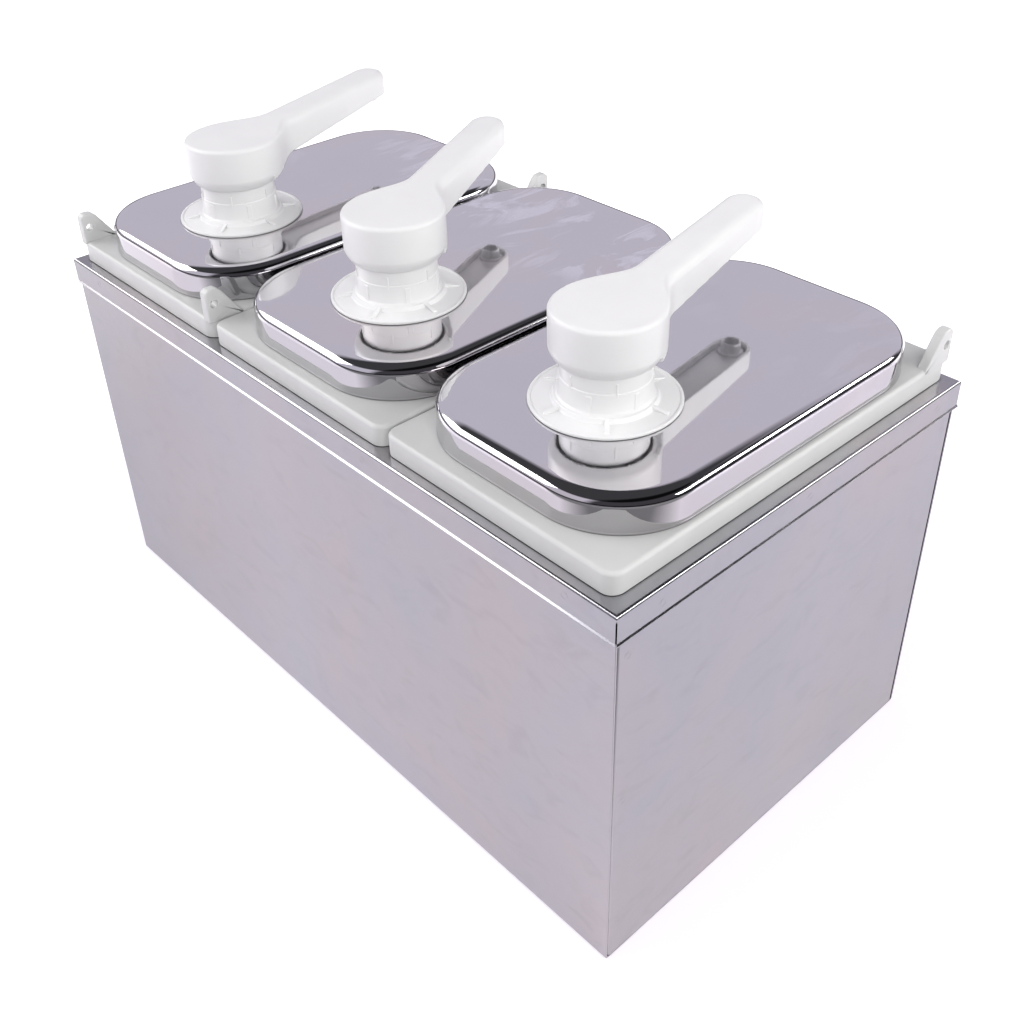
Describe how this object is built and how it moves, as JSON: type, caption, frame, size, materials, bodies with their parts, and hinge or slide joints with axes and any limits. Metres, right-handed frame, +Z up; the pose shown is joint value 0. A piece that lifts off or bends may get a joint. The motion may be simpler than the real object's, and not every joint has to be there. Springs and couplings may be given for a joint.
{
  "type": "condiment pump dispenser",
  "caption": "Steel case with a row of lift-out moulded tubs, each under a pressed steel lid with a push-down pump and a swivelling nozzle.",
  "frame": {"origin": "middle of the case's footprint, on the table it stands on", "axes": "+X along the row of tubs, -Y towards the person who pumps, +Z up"},
  "size_m": [0.395, 0.22, 0.2633],
  "materials": {
    "case_steel": "satin",
    "polished_steel": "polished",
    "milky_plastic": "satin",
    "white_plastic": "gloss",
    "gasket_rubber": "matt",
    "spring_steel": "polished",
    "ball_steel": "polished"
  },
  "bodies": {
    "case": {"case_shell": "case_steel", "left_end_panel": "case_steel", "right_end_panel": "case_steel", "top_frame": "case_steel"},
    "left_tub": {"left_tub": "milky_plastic"},
    "left_lid": {"left_lid": "polished_steel", "left_collar": "white_plastic", "left_gasket": "gasket_rubber", "left_lock_nut": "white_plastic", "left_cylinder": "milky_plastic", "left_guide_cap": "white_plastic", "left_valve_cage": "white_plastic", "left_dip_tube": "milky_plastic", "left_spring": "spring_steel"},
    "left_plunger": {"left_piston": "white_plastic", "left_stem": "white_plastic"},
    "left_nozzle": {"left_head": "white_plastic", "left_nozzle_plate": "white_plastic"},
    "left_inlet_ball": {"left_inlet_ball": "ball_steel"},
    "left_outlet_ball": {"left_outlet_ball": "ball_steel"},
    "middle_tub": {"middle_tub": "milky_plastic"},
    "middle_lid": {"middle_lid": "polished_steel", "middle_collar": "white_plastic", "middle_gasket": "gasket_rubber", "middle_lock_nut": "white_plastic", "middle_cylinder": "milky_plastic", "middle_guide_cap": "white_plastic", "middle_valve_cage": "white_plastic", "middle_dip_tube": "milky_plastic", "middle_spring": "spring_steel"},
    "middle_plunger": {"middle_piston": "white_plastic", "middle_stem": "white_plastic"},
    "middle_nozzle": {"middle_head": "white_plastic", "middle_nozzle_plate": "white_plastic"},
    "middle_inlet_ball": {"middle_inlet_ball": "ball_steel"},
    "middle_outlet_ball": {"middle_outlet_ball": "ball_steel"},
    "right_tub": {"right_tub": "milky_plastic"},
    "right_lid": {"right_lid": "polished_steel", "right_collar": "white_plastic", "right_gasket": "gasket_rubber", "right_lock_nut": "white_plastic", "right_cylinder": "milky_plastic", "right_guide_cap": "white_plastic", "right_valve_cage": "white_plastic", "right_dip_tube": "milky_plastic", "right_spring": "spring_steel"},
    "right_plunger": {"right_piston": "white_plastic", "right_stem": "white_plastic"},
    "right_nozzle": {"right_head": "white_plastic", "right_nozzle_plate": "white_plastic"},
    "right_inlet_ball": {"right_inlet_ball": "ball_steel"},
    "right_outlet_ball": {"right_outlet_ball": "ball_steel"}
  },
  "joints": [
    {"name": "left_tub_lift", "type": "slide", "parent": "case", "child": "left_tub", "axis": [0, 0, 1], "range_m": [0, 0.16]},
    {"name": "left_lid_lift", "type": "slide", "parent": "left_tub", "child": "left_lid", "axis": [0, 0, 1], "range_m": [0, 0.16]},
    {"name": "left_press", "type": "slide", "parent": "left_lid", "child": "left_plunger", "axis": [0, 0, -1], "range_m": [0, 0.014], "stiffness_N_per_m": 600, "springref_m": -0.01, "deforming": ["left_spring"]},
    {"name": "left_swivel", "type": "hinge", "parent": "left_plunger", "child": "left_nozzle", "pos_m": [-0.12977, -0.0438, 0.2504], "axis": [0, 0, 1], "range_deg": [-25, 200]},
    {"name": "left_inlet_valve", "type": "slide", "parent": "left_lid", "child": "left_inlet_ball", "axis": [0, 0, 1], "range_m": [0, 0.0035]},
    {"name": "left_outlet_valve", "type": "slide", "parent": "left_plunger", "child": "left_outlet_ball", "axis": [0, 0, 1], "range_m": [0, 0.0025]},
    {"name": "middle_tub_lift", "type": "slide", "parent": "case", "child": "middle_tub", "axis": [0, 0, 1], "range_m": [0, 0.16]},
    {"name": "middle_lid_lift", "type": "slide", "parent": "middle_tub", "child": "middle_lid", "axis": [0, 0, 1], "range_m": [0, 0.16]},
    {"name": "middle_press", "type": "slide", "parent": "middle_lid", "child": "middle_plunger", "axis": [0, 0, -1], "range_m": [0, 0.014], "stiffness_N_per_m": 600, "springref_m": -0.01, "deforming": ["middle_spring"]},
    {"name": "middle_swivel", "type": "hinge", "parent": "middle_plunger", "child": "middle_nozzle", "pos_m": [-0.0015, -0.0426, 0.2504], "axis": [0, 0, 1], "range_deg": [-72, 45]},
    {"name": "middle_inlet_valve", "type": "slide", "parent": "middle_lid", "child": "middle_inlet_ball", "axis": [0, 0, 1], "range_m": [0, 0.0035]},
    {"name": "middle_outlet_valve", "type": "slide", "parent": "middle_plunger", "child": "middle_outlet_ball", "axis": [0, 0, 1], "range_m": [0, 0.0025]},
    {"name": "right_tub_lift", "type": "slide", "parent": "case", "child": "right_tub", "axis": [0, 0, 1], "range_m": [0, 0.16]},
    {"name": "right_lid_lift", "type": "slide", "parent": "right_tub", "child": "right_lid", "axis": [0, 0, 1], "range_m": [0, 0.16]},
    {"name": "right_press", "type": "slide", "parent": "right_lid", "child": "right_plunger", "axis": [0, 0, -1], "range_m": [0, 0.014], "stiffness_N_per_m": 600, "springref_m": -0.01, "deforming": ["right_spring"]},
    {"name": "right_swivel", "type": "hinge", "parent": "right_plunger", "child": "right_nozzle", "pos_m": [0.12577, -0.0413, 0.2504], "axis": [0, 0, 1], "range_deg": [-204, 25]},
    {"name": "right_inlet_valve", "type": "slide", "parent": "right_lid", "child": "right_inlet_ball", "axis": [0, 0, 1], "range_m": [0, 0.0035]},
    {"name": "right_outlet_valve", "type": "slide", "parent": "right_plunger", "child": "right_outlet_ball", "axis": [0, 0, 1], "range_m": [0, 0.0025]}
  ]
}
